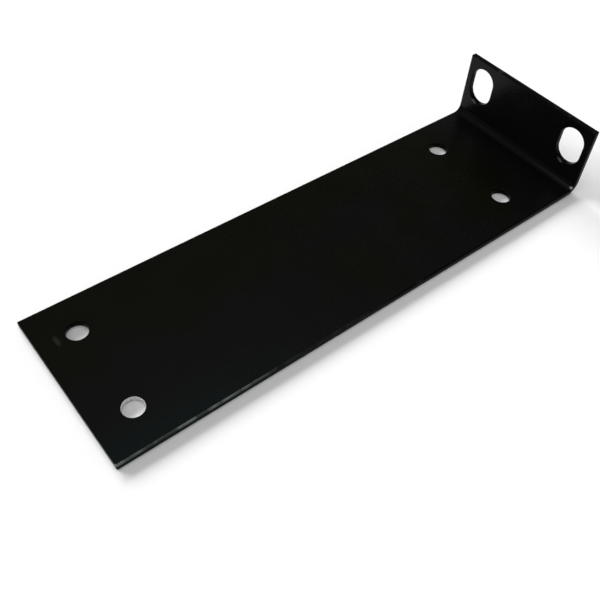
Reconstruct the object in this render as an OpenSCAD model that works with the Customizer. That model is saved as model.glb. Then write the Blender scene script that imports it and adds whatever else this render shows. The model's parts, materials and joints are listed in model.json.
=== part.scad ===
// Rack mount ear: one strip of sheet steel, cut square, punched and folded once to a right angle.
// The long leg is the base plate, which is screwed to the side of the equipment.
// The short leg is the ear, which is screwed to the rail of the rack through two upright slots.
// Origin: middle of the strip's overall length and width, on the base plate's underside.
// +X runs along the base plate towards the ear, and +Z is the way the ear stands.

/* [Strip] */
// Width of the strip, which is the height it takes up in the rack
strip_w = 43; // [41:0.5:60]
// Thickness of the sheet
sheet_t = 1.5; // [1:0.1:3]

/* [Legs] */
// Length of the base plate, from its free end to the front face of the ear
base_len = 139; // [126:1:250]
// Height of the ear, from the underside of the base plate to its top edge
ear_h = 20; // [18.5:0.5:60]

/* [Fold] */
// Radius inside the fold
fold_r = 2; // [0.5:0.1:4]

/* [Holes in the base plate] */
// Diameter of each hole
hole_d = 5; // [2:0.1:12]
// Distance from the free end to the first pair of holes
hole_end = 9.2; // [7:0.1:20]
// Distance from the first pair to the second, along the plate
hole_pitch_long = 110; // [20:0.5:122]
// Distance between the two holes of a pair, across the plate
hole_pitch_cross = 23.7; // [14:0.1:30]

/* [Slots in the ear] */
// Width of each slot, across the strip
slot_w = 7.5; // [4:0.1:10]
// Length of each slot, upright, over its round ends
slot_len = 10.6; // [8:0.1:13]
// Distance between the two slots, which is the pitch of the holes in the rail
slot_pitch = 31.75; // [14:0.05:34]
// Height of the slots' centres above the underside of the base plate
slot_h = 12.5; // [9.5:0.1:14]

/* [Edges] */
// How far the flat on every sharp edge cuts back each of the two faces that meet there
edge_break = 0.25; // [0.1:0.05:0.4]

/* [Hidden] */
$fn = 64;

end_x = -base_len / 2;
front_x = base_len / 2;
fold_outer_r = fold_r + sheet_t;
fold_axis_x = front_x - fold_outer_r;
half_w = strip_w / 2;
right_angle = 90;
half_turn = 180;
past_face = 0.5;
paint_black = [0.07, 0.07, 0.06];

// Section across the strip: its width is along X, its underside is at Y = 0
module strip_section() {
    inner_w = half_w - edge_break;
    polygon([
        [-inner_w, 0],
        [inner_w, 0],
        [half_w, edge_break],
        [half_w, sheet_t - edge_break],
        [inner_w, sheet_t],
        [-inner_w, sheet_t],
        [-half_w, sheet_t - edge_break],
        [-half_w, edge_break]
    ]);
}

// The same section standing up, with its underside at X = 0 and its upper side at X = -sheet_t
module standing_section() {
    rotate([0, 0, right_angle]) strip_section();
}

// Flat length of the base plate, from the free end to the fold
module base_leg() {
    translate([end_x, 0, 0])
        rotate([right_angle, 0, right_angle])
            linear_extrude(fold_axis_x - end_x) strip_section();
}

// Quarter turn of the same section about the axis of the fold
module fold() {
    translate([fold_axis_x, 0, fold_outer_r])
        rotate([right_angle, 0, 0])
            rotate([0, 0, -right_angle])
                rotate_extrude(angle = right_angle)
                    translate([fold_outer_r, 0]) standing_section();
}

// Flat length of the ear, from the fold to its top edge
module ear_leg() {
    translate([front_x, 0, fold_outer_r])
        linear_extrude(ear_h - fold_outer_r) standing_section();
}

// Square bar laid along a sharp edge, on its corner, so that it cuts a flat at 45 degrees
module edge_bar(len) {
    side = edge_break * sqrt(2);
    rotate([0, 0, right_angle / 2]) cube([side, side, len + 2 * past_face], center = true);
}

// The four bars round the free end of a leg that lies along X and ends at X = 0
module end_break() {
    for (side = [-1, 1]) {
        translate([0, side * half_w, sheet_t / 2]) edge_bar(sheet_t);
        translate([0, 0, (1 + side) * sheet_t / 2]) rotate([right_angle, 0, 0]) edge_bar(strip_w);
    }
}

// Half outline of a punched opening of radius r, up the sheet, with both rims broken
module punch_outline(r) {
    rim_r = r + edge_break + past_face;
    polygon([
        [0, -past_face],
        [rim_r, -past_face],
        [r, edge_break],
        [r, sheet_t - edge_break],
        [rim_r, sheet_t + past_face],
        [0, sheet_t + past_face]
    ]);
}

// Punch for a round hole through a sheet that lies on Z = 0
module round_punch(d) {
    rotate_extrude() punch_outline(d / 2);
}

// Punch for a slot along Y through a sheet that lies on Z = 0
module slot_punch(w, len) {
    straight = len - w;
    for (end = [-1, 1]) {
        translate([0, end * straight / 2, 0])
            rotate([0, 0, (end - 1) * right_angle])
                rotate_extrude(angle = half_turn) punch_outline(w / 2);
        rotate([right_angle, 0, (end + 1) * right_angle])
            linear_extrude(straight, center = true) punch_outline(w / 2);
    }
}

// Four holes in the base plate, in two pairs
module base_holes() {
    for (x = [0, hole_pitch_long], y = [-1, 1] * hole_pitch_cross / 2) {
        translate([end_x + hole_end + x, y, 0]) round_punch(hole_d);
    }
}

// Two upright slots in the ear
module ear_slots() {
    for (y = [-1, 1] * slot_pitch / 2) {
        translate([front_x, y, slot_h]) rotate([right_angle, 0, -right_angle]) slot_punch(slot_w, slot_len);
    }
}

// The whole bracket, which is one folded piece
module ear_bracket() {
    color(paint_black)
        difference() {
            union() {
                base_leg();
                fold();
                ear_leg();
            }
            translate([end_x, 0, 0]) end_break();
            translate([front_x, 0, ear_h]) rotate([0, -right_angle, 0]) end_break();
            base_holes();
            ear_slots();
        }
}

ear_bracket();
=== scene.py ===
"""Rack mount ear: one folded strip of black powder-coated sheet steel, on a pale studio floor.

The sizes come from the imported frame. Every length is in metres. +X runs along the base plate
towards the ear, +Z is the way the ear stands, and the base plate's underside is at Z = 0. The near
side is the one at -Y.
"""
import json
import math

import bmesh
import bpy
from mathutils import Euler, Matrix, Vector


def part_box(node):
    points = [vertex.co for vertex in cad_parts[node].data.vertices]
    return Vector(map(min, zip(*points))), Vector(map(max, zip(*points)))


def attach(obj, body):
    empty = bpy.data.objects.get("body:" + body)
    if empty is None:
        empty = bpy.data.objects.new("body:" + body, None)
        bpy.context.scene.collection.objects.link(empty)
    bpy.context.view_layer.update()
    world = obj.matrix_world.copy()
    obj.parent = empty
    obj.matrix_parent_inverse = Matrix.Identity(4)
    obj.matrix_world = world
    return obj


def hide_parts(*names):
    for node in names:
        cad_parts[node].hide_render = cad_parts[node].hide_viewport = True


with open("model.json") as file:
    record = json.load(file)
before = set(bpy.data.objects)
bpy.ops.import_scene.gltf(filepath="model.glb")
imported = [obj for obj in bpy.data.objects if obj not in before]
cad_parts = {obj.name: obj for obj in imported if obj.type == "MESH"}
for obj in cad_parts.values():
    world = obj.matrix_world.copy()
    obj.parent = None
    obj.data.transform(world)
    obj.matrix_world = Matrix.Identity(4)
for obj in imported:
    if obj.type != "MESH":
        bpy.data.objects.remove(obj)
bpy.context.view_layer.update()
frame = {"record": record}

bl_info = {
    "name": "Rack mount ear",
    "version": (1, 0, 0),
    "blender": (4, 5, 0),
    "location": "3D View > Sidebar > Rack ear",
    "description": "Models a folded rack mount ear in black powder coat, with its studio",
    "category": "Object",
}

PIECE = "folded_bracket"
MILLIMETRE = 0.001
QUARTER_TURN = math.radians(90)
# Places closer together than this count as the same
TOUCH = 1e-6
# Corners of the mesh closer together than this are joined
WELD = 1e-7
# Faces that lean less than this count as square
SKEW = 0.01

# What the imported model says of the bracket
LOW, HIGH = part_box("ear_bracket")
MOUNTS = {mount["name"]: mount for mount in frame["record"]["mounts"]}
SCREW_HOLES = MOUNTS["chassis_holes"]
RACK_SLOTS = [MOUNTS["rack_slot_lower"], MOUNTS["rack_slot_upper"]]
EAR_FACE = MOUNTS["rail_face"]["pos_m"][0]
SHEET = HIGH.x - EAR_FACE

# The bracket's material slots, after slot 0, which is the plain powder coat
EDGE_PAINT = 1
ROOT_PAINT = 2
BARE_STEEL = 3

# Scales of the patterns in the finishes, in features a metre
PATCHES = 30
CLOUDS = 90
STREAKS = 300
PEEL = 520
SPECKS = 1400
PUNCH_MARKS = 3800
GRAIN = 4200
# How much of the punch marks' scale is left along the bore, which draws them out
PUNCH_DRAW = 0.08
# How much the paint turns to olive with each metre towards the far side
OLIVE_SLOPE = 9.0

# How strongly each painted glint and painted highlight shows, and the pale patch by the far hole
FOLD_END_GLINT = 0.62
FOLD_HIGHLIGHT = 0.011
SLOT_GLINT = 0.15
PALE_PATCH = 0.027
# How far the painted glint at the foot of a slot is turned
SLOT_GLINT_TURN = math.radians(21)

# Where the lamps hang, seen from the bracket. Turns, the rise and the widths are in degrees
WINDOW_TURNS = (-10, 10, 30)
WINDOW_RISE = 19.3
WINDOW_WIDTH = 19
OVERHEAD_WAY = Vector((0.24, 0.08, 0.97))
OVERHEAD_WIDTH = 20
FILL_WAY = Vector((-0.60, 0.02, 0.80))
FILL_WIDTH = 38

# How high, as the Z of a direction, the white horizon ends and the dim upper walls begin
HORIZON_TOP = 0.31
WALL_FOOT = 0.43
# Where the ceiling is brightest, and how closely a direction agrees with that where its light
# begins and where it is full
CEILING_WAY = (0.10, 0.25, 0.96)
CEILING_EDGE = 0.82
CEILING_CORE = 0.98


# ---------------------------------------------------------------------------------------------
# Sizes, finish and studio
# ---------------------------------------------------------------------------------------------

class BracketSizes(bpy.types.PropertyGroup):
    """Sizes of the folded strip and its openings"""
    strip_width: bpy.props.FloatProperty(
        name="Strip width", description="Width of the strip, which is the height it takes in the rack",
        default=HIGH.y - LOW.y, min=0.02, unit="LENGTH")
    plate_length: bpy.props.FloatProperty(
        name="Plate length", description="From the free end to the front face of the ear",
        default=HIGH.x - LOW.x, min=0.05, unit="LENGTH")
    ear_height: bpy.props.FloatProperty(
        name="Ear height", description="From the plate's underside to the ear's top edge",
        default=HIGH.z - LOW.z, min=0.01, unit="LENGTH")
    sheet: bpy.props.FloatProperty(
        name="Sheet thickness", description="Thickness of the steel sheet",
        default=SHEET, min=0.0005, unit="LENGTH")
    fold_radius: bpy.props.FloatProperty(
        name="Fold radius", description="Radius inside the fold",
        default=2 * MILLIMETRE, min=0.0005, unit="LENGTH")
    fold_steps: bpy.props.IntProperty(
        name="Fold steps", description="Flats that make up the quarter turn of the fold",
        default=24, min=4)
    fold_root: bpy.props.FloatProperty(
        name="Root of the fold", description="How far up the fold's inner side its dull root begins",
        default=math.radians(54), min=0, max=QUARTER_TURN, subtype="ANGLE")
    arris_radius: bpy.props.FloatProperty(
        name="Arris radius", description="Radius that the paint gives the edges of the sheet",
        default=0.20 * MILLIMETRE, min=0.00005, unit="LENGTH")
    sheared_radius: bpy.props.FloatProperty(
        name="Sheared arris radius",
        description="Radius of the near side's upper edge, which the shear rolled over",
        default=0.42 * MILLIMETRE, min=0.00005, unit="LENGTH")
    arris_steps: bpy.props.IntProperty(
        name="Arris steps", description="Flats that round each edge", default=5, min=1)
    hole_radius: bpy.props.FloatProperty(
        name="Screw hole radius", description="Radius of each hole in the base plate",
        default=SCREW_HOLES["dims"]["hole_r_mm"] * MILLIMETRE, min=0.0005, unit="LENGTH")
    slot_radius: bpy.props.FloatProperty(
        name="Slot end radius", description="Radius of the round ends of each slot in the ear",
        default=RACK_SLOTS[0]["dims"]["hole_r_mm"] * MILLIMETRE, min=0.0005, unit="LENGTH")
    slot_length: bpy.props.FloatProperty(
        name="Slot length", description="Length of each slot over its round ends",
        default=RACK_SLOTS[0]["dims"]["slot_length_mm"] * MILLIMETRE, min=0.001, unit="LENGTH")
    round_steps: bpy.props.IntProperty(
        name="Round steps", description="Flats round each hole", default=72, min=12)


class PaintLook(bpy.types.PropertyGroup):
    """Colours and texture of the powder coat and of the bare bore"""
    neutral_black: bpy.props.FloatVectorProperty(
        name="Neutral black", description="Main colour of the powder coat",
        default=(0.0018, 0.0018, 0.0017), size=3, min=0, max=1, subtype="COLOR")
    olive_black: bpy.props.FloatVectorProperty(
        name="Olive black", description="Colour that the powder coat drifts to in broad patches",
        default=(0.0016, 0.0019, 0.0004), size=3, min=0, max=1, subtype="COLOR")
    # A lighter teal: a painted sheen towards the near corner of the free end
    teal_sheen_black: bpy.props.FloatVectorProperty(
        name="Teal black", description="Colour towards the near corner of the free end",
        default=(0.0016, 0.0036, 0.0034), size=3, min=0, max=1, subtype="COLOR")
    # Painted highlight colour: the grey of the painted glints and highlights, and of the pale patch
    highlight_grey: bpy.props.FloatVectorProperty(
        name="Rubbed grey", description="Colour of thin, rubbed paint and of the handling marks",
        default=(0.31, 0.36, 0.325), size=3, min=0, max=1, subtype="COLOR")
    bare_steel: bpy.props.FloatVectorProperty(
        name="Bare steel", description="Colour of the bore that was cleared of paint",
        default=(0.90, 0.90, 0.91), size=3, min=0, max=1, subtype="COLOR")
    mark_shade: bpy.props.FloatProperty(
        name="Punch mark shade", description="Share of the steel's colour that is left in its marks",
        default=0.85, min=0, max=1, subtype="FACTOR")
    mark_height: bpy.props.FloatProperty(
        name="Punch mark height", description="Height of the upright marks in the bore",
        default=0.004 * MILLIMETRE, min=0, unit="LENGTH")
    roughness: bpy.props.FloatProperty(
        name="Roughness", description="Middle roughness of the powder coat",
        default=0.26, min=0, max=1, subtype="FACTOR")
    roughness_range: bpy.props.FloatProperty(
        name="Roughness range", description="How far the roughness drifts either way",
        default=0.03, min=0, max=0.5)
    speck_range: bpy.props.FloatProperty(
        name="Speck range", description="How far the fine specks change the roughness either way",
        default=0.03, min=0, max=0.5)
    fold_roughness: bpy.props.FloatProperty(
        name="Fold roughness", description="Roughness added all along the fold",
        default=0.48, min=0, max=1)
    gloss: bpy.props.FloatProperty(
        name="Gloss level", description="Strength of the paint's reflection, where 0.5 is plain plastic",
        default=0.12, min=0, max=1, subtype="FACTOR")
    thin_gloss: bpy.props.FloatProperty(
        name="Thin paint's gloss level", description="The same for the edges and the root of the fold",
        default=0.04, min=0, max=1, subtype="FACTOR")
    peel_height: bpy.props.FloatProperty(
        name="Orange peel height", description="Height of the soft ripple in the powder coat",
        default=0.02 * MILLIMETRE, min=0, unit="LENGTH")
    grain_height: bpy.props.FloatProperty(
        name="Grain height", description="Height of the fine grain in the powder coat",
        default=0.0008 * MILLIMETRE, min=0, unit="LENGTH")


class StudioLook(bpy.types.PropertyGroup):
    """Floor, lamps and camera"""
    floor_colour: bpy.props.FloatVectorProperty(
        name="Floor colour", description="Colour of the plain floor",
        default=(0.77, 0.77, 0.77), size=3, min=0, max=1, subtype="COLOR")
    floor_lift: bpy.props.FloatProperty(
        name="Floor lift", description="How far the floor is lifted to white where it is seen",
        default=0.09, min=0, max=1)
    floor_radius: bpy.props.FloatProperty(
        name="Floor radius", description="Radius of the floor", default=5.0, min=1, unit="LENGTH")
    floor_gap: bpy.props.FloatProperty(
        name="Floor gap", description="How far the floor lies under the bracket",
        default=0.05 * MILLIMETRE, min=0, unit="LENGTH")
    wall_level: bpy.props.FloatProperty(
        name="Wall level", description="Light from the upper walls, where 1 is white",
        default=0.08, min=0, max=2)
    ceiling_level: bpy.props.FloatProperty(
        name="Ceiling level",
        description="Light from the brightest part of the ceiling, where 1 is white",
        default=0.42, min=0, max=2)
    window_strength: bpy.props.FloatProperty(
        name="Window light", description="Strength of each pane of the wide low window on the far side",
        default=2.27, min=0)
    overhead_strength: bpy.props.FloatProperty(
        name="Overhead light", description="Strength of the small lamp above the bracket",
        default=0.39, min=0)
    fill_strength: bpy.props.FloatProperty(
        name="Fill light", description="Strength of the broad lamp above the free end",
        default=0.45, min=0)
    camera_place: bpy.props.FloatVectorProperty(
        name="Camera place", description="Where the camera stands",
        default=(-0.09038, -0.09388, 0.13418), size=3, subtype="TRANSLATION")
    camera_turn: bpy.props.FloatVectorProperty(
        name="Camera turn", description="How the camera is turned",
        default=tuple(math.radians(angle) for angle in (41.39, -3.70, -38.78)), size=3, subtype="EULER")
    camera_lens: bpy.props.FloatProperty(
        name="Camera lens", description="Focal length in millimetres on a 36 mm sensor",
        default=45.85, min=1)
    camera_shift: bpy.props.FloatVectorProperty(
        name="Camera shift", description="Shift of the view across and up, as shares of its width",
        default=(-0.0258, -0.0242), size=2)


# ---------------------------------------------------------------------------------------------
# Hand tools
# ---------------------------------------------------------------------------------------------

def deselect_all():
    """Leaves edit mode, and leaves nothing selected"""
    if bpy.context.mode != "OBJECT":
        bpy.ops.object.mode_set(mode="OBJECT")
    bpy.ops.object.select_all(action="DESELECT")


def select_only(*pieces):
    """Selects these objects and makes the first one active"""
    deselect_all()
    for piece in pieces:
        piece.select_set(True)
    bpy.context.view_layer.objects.active = pieces[0]


def keep_place():
    """Writes the active object's place, turn and size into its mesh"""
    bpy.ops.object.transform_apply(location=True, rotation=True, scale=True)


def select_parts(piece, kind, wanted):
    """In edit mode, selects just the faces, edges or verts for which wanted(part) is true"""
    bpy.ops.mesh.select_mode(type=kind[:-1].upper())
    bpy.ops.mesh.select_all(action="DESELECT")
    shape = bmesh.from_edit_mesh(piece.data)
    found = [part for part in getattr(shape, kind) if wanted(part)]
    for part in found:
        part.select_set(True)
    shape.select_flush_mode()
    bmesh.update_edit_mesh(piece.data)
    if not found:
        raise RuntimeError(f"{piece.name}: no {kind} were found to select")


def add_modifier(piece, kind, **settings):
    """Adds a modifier to the active piece, sets it and applies it"""
    bpy.ops.object.modifier_add(type=kind)
    modifier = piece.modifiers[-1]
    for name, value in settings.items():
        setattr(modifier, name, value)
    bpy.ops.object.modifier_apply(modifier=modifier.name)


def millimetres(*lengths):
    """A vector of three lengths given in millimetres"""
    return Vector(lengths) * MILLIMETRE


def screw_hole(along, across):
    """The middle of a screw hole, on the underside: along is -1 at the free end and 1 at the ear,
    and across is -1 on the near side and 1 on the far side"""
    middle = Vector(SCREW_HOLES["pos_m"])
    middle.x += along * SCREW_HOLES["dims"]["spacing_x_mm"] * MILLIMETRE / 2
    middle.y += across * SCREW_HOLES["dims"]["spacing_y_mm"] * MILLIMETRE / 2
    return middle


# ---------------------------------------------------------------------------------------------
# Nodes
# ---------------------------------------------------------------------------------------------

def add_node(tree, kind, settings=None, **inputs):
    """Adds a node, sets its options and its plain input values"""
    made = tree.nodes.new(kind)
    for name, value in (settings or {}).items():
        setattr(made, name, value)
    for name, value in inputs.items():
        made.inputs[name.replace("_", " ")].default_value = value
    return made


def split(tree, vector):
    """The X, Y and Z of a place or a direction"""
    made = tree.nodes.new("ShaderNodeSeparateXYZ")
    tree.links.new(vector, made.inputs["Vector"])
    return tuple(made.outputs)


def noise(tree, place, scale, detail=2.0, roughness=0.5):
    """A noise texture of a given scale, in features a metre"""
    made = add_node(tree, "ShaderNodeTexNoise", Scale=scale, Detail=detail, Roughness=roughness)
    tree.links.new(place, made.inputs["Vector"])
    return made.outputs["Fac"]


def remap(tree, value, low, high, new_low=0.0, new_high=1.0, smooth=False):
    """Moves a value from one range to another and clamps it"""
    kind = "SMOOTHSTEP" if smooth else "LINEAR"
    made = add_node(tree, "ShaderNodeMapRange", {"interpolation_type": kind, "clamp": True},
                    From_Min=low, From_Max=high, To_Min=new_low, To_Max=new_high)
    tree.links.new(value, made.inputs["Value"])
    return made.outputs["Result"]


def combine(tree, operation, first, second):
    """A sum, product or other operation of two values"""
    made = add_node(tree, "ShaderNodeMath", {"operation": operation})
    for socket, value in zip(made.inputs, (first, second)):
        if isinstance(value, (int, float)):
            socket.default_value = value
        else:
            tree.links.new(value, socket)
    return made.outputs["Value"]


def blend_colours(tree, share, first, second):
    """The first colour where share is 0 and the second where it is 1"""
    made = add_node(tree, "ShaderNodeMix", {"data_type": "RGBA"})
    tree.links.new(share, made.inputs["Factor"])
    for socket, colour in ((made.inputs[6], first), (made.inputs[7], second)):
        if isinstance(colour, bpy.types.NodeSocket):
            tree.links.new(colour, socket)
        else:
            socket.default_value = (*colour, 1)
    return made.outputs[2]


def facing(tree, way, toward):
    """How closely a way agrees with a direction, where 1 is fully"""
    made = add_node(tree, "ShaderNodeVectorMath", {"operation": "DOT_PRODUCT"})
    tree.links.new(way, made.inputs[0])
    made.inputs[1].default_value = toward
    return made.outputs["Value"]


def near_point(tree, place, point, reach, strength, turn=0.0, core=0.3):
    """Strength round a point, falling smoothly to 0 at reach from it along each axis, turned about
    X. The core is the share of the reach that has the full strength"""
    away = add_node(tree, "ShaderNodeMapping", {"vector_type": "TEXTURE"},
                    Location=point, Rotation=(turn, 0, 0), Scale=reach)
    tree.links.new(place, away.inputs["Vector"])
    length = add_node(tree, "ShaderNodeVectorMath", {"operation": "LENGTH"})
    tree.links.new(away.outputs["Vector"], length.inputs[0])
    return remap(tree, length.outputs["Value"], 1.0, core, new_high=strength, smooth=True)


def raise_surface(tree, height, depth, under=None):
    """A bump of a depth in metres, on top of another bump if one is given"""
    made = add_node(tree, "ShaderNodeBump", Strength=1.0, Distance=depth)
    tree.links.new(height, made.inputs["Height"])
    if under is not None:
        tree.links.new(under, made.inputs["Normal"])
    return made.outputs["Normal"]


# ---------------------------------------------------------------------------------------------
# Finishes
# ---------------------------------------------------------------------------------------------

def new_finish(name):
    """A material with a plain shader, and the object's own coordinates"""
    material = bpy.data.materials.new(name)
    material.use_nodes = True
    tree = material.node_tree
    shader = tree.nodes["Principled BSDF"]
    place = tree.nodes.new("ShaderNodeTexCoord").outputs["Object"]
    return material, tree, shader, place


def painted_glints_and_patch(tree, place):
    """Painted glints and a pale patch: a painted glint at the near end of the fold, with a faint painted
    highlight along the fold from there, a painted glint at the foot of each slot, and a faint pale patch
    beside the far screw hole at the free end"""
    fold_end = Vector((EAR_FACE, LOW.y, SHEET))
    far_hole = screw_hole(-1, 1) + Vector((0, 0, SHEET))
    # A painted glint at the near end of the fold
    end_glint = near_point(tree, place, fold_end + millimetres(-0.6, 0.1, 0.6),
                       millimetres(0.5, 1.0, 0.6), FOLD_END_GLINT)
    # A faint painted highlight along the fold, running on from the glint
    trace = near_point(tree, place, fold_end + millimetres(-0.7, 0, 0.5),
                       millimetres(0.6, 19.0, 0.6), FOLD_HIGHLIGHT)
    total = combine(tree, "MAXIMUM", end_glint, trace)
    for slot in RACK_SLOTS:
        _, across, up = slot["pos_m"]
        # A painted glint at the foot of the slot
        foot = Vector((EAR_FACE, across, up)) + millimetres(0, 1.2, -5.4)
        foot_glint = near_point(tree, place, foot, millimetres(0.8, 1.3, 0.45), SLOT_GLINT, SLOT_GLINT_TURN)
        total = combine(tree, "MAXIMUM", total, foot_glint)
    # A faint pale patch beside the far screw hole
    far_hole_patch = near_point(tree, place, far_hole + millimetres(-4.7, -0.05, 0),
                        millimetres(0.8, 2.1, 0.6), PALE_PATCH)
    return combine(tree, "MAXIMUM", total, far_hole_patch)


def painted_arris_highlight(tree, place):
    """A painted highlight on the upper arris of the near side, from the free end to mid-length, in
    broken streaks, and faint lighter streaks on every cut edge"""
    along, across, up = split(tree, place)
    streak = noise(tree, place, STREAKS, detail=3, roughness=0.6)
    near_side = remap(tree, across, LOW.y + 0.8 * MILLIMETRE, LOW.y + 0.6 * MILLIMETRE)
    more_at_free_end = remap(tree, along, -0.028, -0.044, new_low=0.12, smooth=True)
    up_to_mid_length = remap(tree, along, 0.010, -0.020, smooth=True)
    upper_arris = remap(tree, up, SHEET - 0.36 * MILLIMETRE, SHEET - 0.26 * MILLIMETRE)
    broken = remap(tree, streak, 0.42, 0.56, new_low=0.13, new_high=0.43)
    painted_highlight = near_side
    for limit in (more_at_free_end, up_to_mid_length, upper_arris, broken):
        painted_highlight = combine(tree, "MULTIPLY", painted_highlight, limit)
    trace = remap(tree, streak, 0.60, 0.70, new_high=0.03, smooth=True)
    return combine(tree, "MAXIMUM", painted_highlight, trace)


def paint_colour(tree, place, look):
    """Neutral black, drifting to olive in broad patches, more so towards the far side and not beside the
    ear, and to a lighter teal towards the near corner of the free end, which is a painted sheen"""
    along, across, _ = split(tree, place)
    more_at_far_side = combine(tree, "MULTIPLY", across, OLIVE_SLOPE)
    patches = combine(tree, "ADD", noise(tree, place, PATCHES, detail=3), more_at_far_side)
    not_beside_ear = remap(tree, along, 0.060, 0.050)
    olive = combine(tree, "MULTIPLY", remap(tree, patches, 0.42, 0.58, smooth=True), not_beside_ear)
    colour = blend_colours(tree, olive, look.neutral_black, look.olive_black)
    # A painted sheen: lighter teal towards the near corner of the free end
    at_near_side = remap(tree, across, -0.011, LOW.y, smooth=True)
    at_free_end = remap(tree, along, -0.012, -0.060, smooth=True)
    teal_sheen = combine(tree, "MULTIPLY", at_near_side, at_free_end)
    return blend_colours(tree, teal_sheen, colour, look.teal_sheen_black)


def paint_roughness(tree, place, look):
    """Roughness that drifts in clouds, with fine specks, and is higher all along the fold"""
    clouds = remap(tree, noise(tree, place, CLOUDS, detail=4), 0.3, 0.7,
                   new_low=look.roughness - look.roughness_range,
                   new_high=look.roughness + look.roughness_range)
    specks = remap(tree, noise(tree, place, SPECKS), 0.3, 0.7,
                   new_low=-look.speck_range, new_high=look.speck_range)
    fold = Vector((EAR_FACE, 0, SHEET)) + millimetres(-0.8, 0, 0.7)
    in_fold = near_point(tree, place, fold, millimetres(1.4, 1000, 1.4), look.fold_roughness)
    return combine(tree, "ADD", combine(tree, "ADD", clouds, specks), in_fold)


def powder_coat(name, look, gloss, with_arris_highlight=False):
    """Satin black powder coat: drifting colour and gloss, orange peel and grain, with painted glints, a
    painted highlight along the fold and a pale patch. On the cut edges it also gets a painted highlight
    in broken streaks"""
    material, tree, shader, place = new_finish(name)
    bright = painted_glints_and_patch(tree, place)
    if with_arris_highlight:
        # A painted highlight along the near upper arris, in broken streaks
        bright = combine(tree, "MAXIMUM", bright, painted_arris_highlight(tree, place))
    # The painted glints and highlights are blended into the paint's colour here
    colour = blend_colours(tree, bright, paint_colour(tree, place, look), look.highlight_grey)
    tree.links.new(colour, shader.inputs["Base Color"])
    tree.links.new(paint_roughness(tree, place, look), shader.inputs["Roughness"])
    shader.inputs["Specular IOR Level"].default_value = gloss
    peel = raise_surface(tree, noise(tree, place, PEEL, detail=1.5), look.peel_height)
    grain = raise_surface(tree, noise(tree, place, GRAIN, detail=1), look.grain_height, under=peel)
    tree.links.new(grain, shader.inputs["Normal"])
    return material


def bare_bore(name, look):
    """Steel of a bore that was cleared of paint, with the fine upright marks of the punch"""
    material, tree, shader, place = new_finish(name)
    upright = add_node(tree, "ShaderNodeMapping", Scale=(1, 1, PUNCH_DRAW))
    tree.links.new(place, upright.inputs["Vector"])
    marks = noise(tree, upright.outputs["Vector"], PUNCH_MARKS, detail=3)
    darker_steel = tuple(look.mark_shade * part for part in look.bare_steel)
    colour = blend_colours(tree, remap(tree, marks, 0.35, 0.7), look.bare_steel, darker_steel)
    tree.links.new(colour, shader.inputs["Base Color"])
    roughness = remap(tree, marks, 0.3, 0.7, new_low=0.38, new_high=0.55)
    tree.links.new(roughness, shader.inputs["Roughness"])
    shader.inputs["Metallic"].default_value = 0.85
    tree.links.new(raise_surface(tree, marks, look.mark_height), shader.inputs["Normal"])
    return material


# ---------------------------------------------------------------------------------------------
# Bracket
# ---------------------------------------------------------------------------------------------

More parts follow.
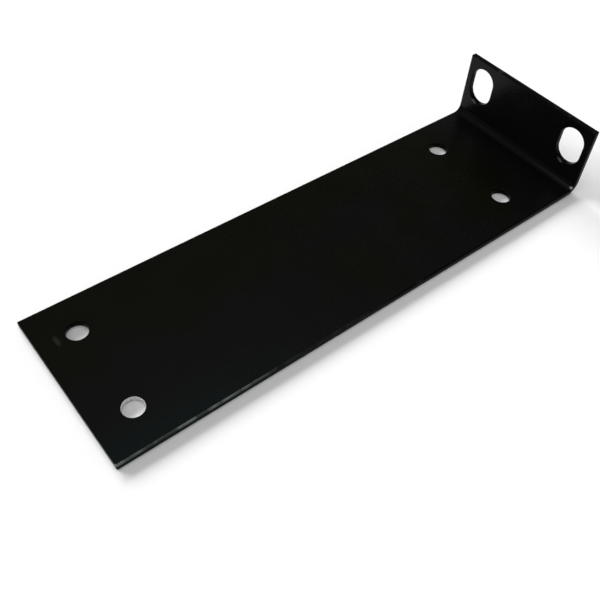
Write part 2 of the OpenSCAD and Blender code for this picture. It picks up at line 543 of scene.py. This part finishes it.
class RACKEAR_OT_folded_bracket(bpy.types.Operator):
    """Model the bracket from one strip of sheet: folded, punched and powder-coated"""
    bl_idname = "rack_ear.folded_bracket"
    bl_label = "Folded bracket"
    bl_options = {"REGISTER", "UNDO"}

    def execute(self, context):
        sizes = context.scene.rack_ear_sizes
        look = context.scene.rack_ear_paint
        bracket = self.fold_strip(sizes)
        self.punch(bracket, self.punches(sizes))
        for finish in (powder_coat("BlackPowderCoat", look, look.gloss),
                       powder_coat("PaintOverCutEdges", look, look.thin_gloss, with_arris_highlight=True),
                       powder_coat("PaintInFoldRoot", look, look.thin_gloss),
                       bare_bore("BareBore", look)):
            bracket.data.materials.append(finish)
        self.give_finish(bracket, EDGE_PAINT, self.is_cut(sizes))
        self.give_finish(bracket, ROOT_PAINT, self.is_fold_root(sizes))
        self.round_arrises(bracket, sizes)
        self.give_finish(bracket, BARE_STEEL, self.is_cleared(sizes))
        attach(bracket, "root")
        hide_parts("ear_bracket")
        return {"FINISHED"}

    @staticmethod
    def fold_strip(sizes):
        """The flat of the base plate, turned up in a fold and carried on as the ear"""
        outer_radius = sizes.fold_radius + sizes.sheet
        free_end = -sizes.plate_length / 2
        fold_x = sizes.plate_length / 2 - outer_radius
        middle = ((free_end + fold_x) / 2, 0, sizes.sheet / 2)
        deselect_all()
        bpy.ops.mesh.primitive_cube_add(
            size=1, location=middle, scale=(fold_x - free_end, sizes.strip_width, sizes.sheet))
        bracket = bpy.context.active_object
        bracket.name = bracket.data.name = PIECE
        keep_place()
        bpy.ops.object.mode_set(mode="EDIT")
        select_parts(bracket, "faces", lambda face: face.normal.x > 1 - SKEW)
        bpy.ops.mesh.spin(steps=sizes.fold_steps, angle=QUARTER_TURN,
                          center=(fold_x, 0, outer_radius), axis=(0, 1, 0))
        bpy.ops.mesh.extrude_region_move(
            TRANSFORM_OT_translate={"value": (0, 0, sizes.ear_height - outer_radius)})
        bpy.ops.mesh.select_all(action="SELECT")
        bpy.ops.mesh.remove_doubles(threshold=WELD)
        bpy.ops.mesh.normals_make_consistent(inside=False)
        bpy.ops.object.mode_set(mode="OBJECT")
        return bracket

    @staticmethod
    def punches(sizes):
        """The punches of all openings: four round ones and two oblong ones, in one object"""
        depth = 4 * sizes.sheet
        made = []
        for along in (-1, 1):
            for across in (-1, 1):
                hole = screw_hole(along, across)
                deselect_all()
                bpy.ops.mesh.primitive_cylinder_add(
                    vertices=sizes.round_steps, radius=sizes.hole_radius, depth=depth,
                    location=(hole.x, hole.y, sizes.sheet / 2))
                keep_place()
                made.append(bpy.context.active_object)
        for slot in RACK_SLOTS:
            place = Vector(slot["pos_m"])
            deselect_all()
            bpy.ops.mesh.primitive_cylinder_add(
                vertices=sizes.round_steps, radius=sizes.slot_radius, depth=depth,
                location=place, rotation=(0, QUARTER_TURN, 0))
            keep_place()
            punch = bpy.context.active_object
            straight = sizes.slot_length - 2 * sizes.slot_radius
            bpy.ops.object.mode_set(mode="EDIT")
            for side in (-1, 1):
                select_parts(punch, "verts", lambda vert: (vert.co.z - place.z) * side > TOUCH)
                bpy.ops.transform.translate(value=(0, 0, side * straight / 2))
            bpy.ops.object.mode_set(mode="OBJECT")
            made.append(punch)
        select_only(*made)
        bpy.ops.object.join()
        return bpy.context.active_object

    @staticmethod
    def punch(bracket, punches):
        """Cuts the openings, and takes the punches away"""
        select_only(bracket)
        add_modifier(bracket, "BOOLEAN", operation="DIFFERENCE", object=punches, solver="EXACT")
        select_only(punches)
        bpy.ops.object.delete()

    @staticmethod
    def round_arrises(bracket, sizes):
        """Rounds every edge of the sheet and keeps the flats flat. The near side's upper edge,
        which the shear rolled over, goes first and is rounder than the rest"""
        corner = math.radians(40)

        def rolled(edge):
            middle = (edge.verts[0].co + edge.verts[1].co) / 2
            return (edge.calc_face_angle(0) > corner
                    and middle.y < TOUCH - sizes.strip_width / 2
                    and middle.z > sizes.sheet - TOUCH
                    and middle.x < sizes.plate_length / 2 - sizes.sheet + TOUCH)

        select_only(bracket)
        bpy.ops.object.shade_smooth()
        bpy.ops.object.mode_set(mode="EDIT")
        select_parts(bracket, "edges", rolled)
        bpy.ops.mesh.bevel(offset=sizes.sheared_radius, segments=sizes.arris_steps,
                           affect="EDGES", material=EDGE_PAINT, clamp_overlap=False)
        bpy.ops.object.mode_set(mode="OBJECT")
        add_modifier(bracket, "BEVEL", width=sizes.arris_radius, segments=sizes.arris_steps,
                     limit_method="ANGLE", angle_limit=corner, material=EDGE_PAINT,
                     use_clamp_overlap=False)
        add_modifier(bracket, "WEIGHTED_NORMAL", mode="FACE_AREA", weight=50, keep_sharp=False)

    @staticmethod
    def is_cut(sizes):
        """A test for the faces that were cut: the sides, both ends and the walls of the openings"""
        free_end = TOUCH - sizes.plate_length / 2
        ear_top = sizes.ear_height - TOUCH

        def test(face):
            middle = face.calc_center_median()
            return abs(face.normal.y) > SKEW or middle.x < free_end or middle.z > ear_top
        return test

    @staticmethod
    def is_fold_root(sizes):
        """A test for the faces of the fold's root: the upper part of its inner side, next to the
        ear, where little powder reaches"""
        def test(face):
            lean = math.atan2(-face.normal.x, face.normal.z)
            return abs(face.normal.y) < SKEW and sizes.fold_root < lean < QUARTER_TURN - SKEW
        return test

    @staticmethod
    def is_cleared(sizes):
        """A test for the wall of the near screw hole at the free end, which was cleared of paint"""
        axis = screw_hole(-1, -1).xy
        reach = sizes.hole_radius + 0.1 * sizes.arris_radius
        return lambda face: (face.calc_center_median().xy - axis).length < reach

    @staticmethod
    def give_finish(bracket, finish, wanted):
        """Gives one of the bracket's finishes to the faces for which wanted(face) is true"""
        select_only(bracket)
        bpy.ops.object.mode_set(mode="EDIT")
        select_parts(bracket, "faces", wanted)
        bracket.active_material_index = finish
        bpy.ops.object.material_slot_assign()
        bpy.ops.object.mode_set(mode="OBJECT")


# ---------------------------------------------------------------------------------------------
# Studio
# ---------------------------------------------------------------------------------------------

class RACKEAR_OT_studio(bpy.types.Operator):
    """Lay the pale floor, hang the soft lamps and stand the camera"""
    bl_idname = "rack_ear.studio"
    bl_label = "Studio"
    bl_options = {"REGISTER", "UNDO"}

    def execute(self, context):
        look = context.scene.rack_ear_studio
        self.lay_floor(look)
        self.set_surroundings(context.scene, look)
        for pane, turn in enumerate(WINDOW_TURNS, start=1):
            toward = Vector((0, 1, 0))
            toward.rotate(Euler((math.radians(WINDOW_RISE), 0, math.radians(turn))))
            self.hang_lamp(f"WindowPane_{pane}", toward, WINDOW_WIDTH, look.window_strength,
                           mirrored=False)
        self.hang_lamp("OverheadLight", OVERHEAD_WAY, OVERHEAD_WIDTH, look.overhead_strength)
        self.hang_lamp("FillLight", FILL_WAY, FILL_WIDTH, look.fill_strength)
        self.stand_camera(context.scene, look)
        return {"FINISHED"}

    @staticmethod
    def lay_floor(look):
        """A plain round floor just under the bracket, lifted to white where it is seen"""
        deselect_all()
        bpy.ops.mesh.primitive_circle_add(
            vertices=96, radius=look.floor_radius, fill_type="NGON",
            location=(0, 0, LOW.z - look.floor_gap))
        floor = bpy.context.active_object
        floor.name = "Floor"
        keep_place()
        material = bpy.data.materials.new("PaleFloor")
        material.use_nodes = True
        tree = material.node_tree
        tree.nodes.clear()
        chalk = add_node(tree, "ShaderNodeBsdfDiffuse", Color=(*look.floor_colour, 1))
        glow = add_node(tree, "ShaderNodeEmission", Color=(1, 1, 1, 1))
        paths = tree.nodes.new("ShaderNodeLightPath")
        mirrored = combine(tree, "MAXIMUM", paths.outputs["Is Glossy Ray"],
                           paths.outputs["Is Transmission Ray"])
        seen = combine(tree, "MAXIMUM", paths.outputs["Is Camera Ray"], mirrored)
        tree.links.new(combine(tree, "MULTIPLY", seen, look.floor_lift), glow.inputs["Strength"])
        both = tree.nodes.new("ShaderNodeAddShader")
        tree.links.new(chalk.outputs["BSDF"], both.inputs[0])
        tree.links.new(glow.outputs["Emission"], both.inputs[1])
        out = tree.nodes.new("ShaderNodeOutputMaterial")
        tree.links.new(both.outputs["Shader"], out.inputs["Surface"])
        floor.data.materials.append(material)

    @staticmethod
    def set_surroundings(scene, look):
        """White round the horizon, dim upper walls, and a lighter ceiling towards the far side"""
        world = bpy.data.worlds.new("StudioWalls")
        world.use_nodes = True
        scene.world = world
        tree = world.node_tree
        background = tree.nodes["Background"]
        way = tree.nodes.new("ShaderNodeTexCoord").outputs["Generated"]
        _, _, up = split(tree, way)
        walls = remap(tree, up, HORIZON_TOP, WALL_FOOT,
                      new_low=1.0, new_high=look.wall_level, smooth=True)
        ceiling = remap(tree, facing(tree, way, CEILING_WAY), CEILING_EDGE, CEILING_CORE,
                        new_high=look.ceiling_level - look.wall_level)
        tree.links.new(combine(tree, "ADD", walls, ceiling), background.inputs["Strength"])
        background.inputs["Color"].default_value = (1, 1, 1, 1)

    @staticmethod
    def hang_lamp(name, toward, width, strength, mirrored=True):
        """A soft round lamp far away in a direction, that looks as wide as an angle in degrees.
        Unless it is mirrored, glossy surfaces don't show it"""
        deselect_all()
        bpy.ops.object.light_add(type="SUN", location=toward.normalized())
        lamp = bpy.context.active_object
        lamp.name = name
        lamp.rotation_euler = toward.to_track_quat("Z", "Y").to_euler()
        lamp.data.angle = math.radians(width)
        lamp.data.energy = strength
        lamp.visible_glossy = mirrored

    @staticmethod
    def stand_camera(scene, look):
        """The camera, above the free end and turned towards the ear"""
        deselect_all()
        bpy.ops.object.camera_add(location=look.camera_place, rotation=look.camera_turn)
        camera = bpy.context.active_object
        camera.name = "Camera"
        camera.data.sensor_width = 36
        camera.data.lens = look.camera_lens
        camera.data.shift_x, camera.data.shift_y = look.camera_shift
        camera.data.clip_start = 0.005
        camera.data.clip_end = 20
        camera.data.dof.use_dof = False
        scene.camera = camera
        scene.view_settings.view_transform = "Standard"


# ---------------------------------------------------------------------------------------------
# Add-on
# ---------------------------------------------------------------------------------------------

class RACKEAR_PT_panel(bpy.types.Panel):
    """Lists the steps and what can be set"""
    bl_label = "Rack mount ear"
    bl_idname = "RACKEAR_PT_panel"
    bl_space_type = "VIEW_3D"
    bl_region_type = "UI"
    bl_category = "Rack ear"

    def draw(self, context):
        groups = (
            (RACKEAR_OT_folded_bracket, context.scene.rack_ear_sizes),
            (None, context.scene.rack_ear_paint),
            (RACKEAR_OT_studio, context.scene.rack_ear_studio),
        )
        for step, group in groups:
            box = self.layout.box()
            for name in group.__annotations__:
                box.prop(group, name)
            if step:
                box.operator(step.bl_idname)


CLASSES = (
    BracketSizes,
    PaintLook,
    StudioLook,
    RACKEAR_OT_folded_bracket,
    RACKEAR_OT_studio,
    RACKEAR_PT_panel,
)


def register():
    """Registers the classes and gives the scene its settings"""
    for item in CLASSES:
        bpy.utils.register_class(item)
    bpy.types.Scene.rack_ear_sizes = bpy.props.PointerProperty(type=BracketSizes)
    bpy.types.Scene.rack_ear_paint = bpy.props.PointerProperty(type=PaintLook)
    bpy.types.Scene.rack_ear_studio = bpy.props.PointerProperty(type=StudioLook)


def unregister():
    """Takes the scene's settings and the classes away"""
    del bpy.types.Scene.rack_ear_studio
    del bpy.types.Scene.rack_ear_paint
    del bpy.types.Scene.rack_ear_sizes
    for item in reversed(CLASSES):
        bpy.utils.unregister_class(item)


def main():
    """Registers the classes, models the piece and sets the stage"""
    register()
    bpy.ops.rack_ear.folded_bracket()
    bpy.ops.rack_ear.studio()


if __name__ == "__main__":
    main()
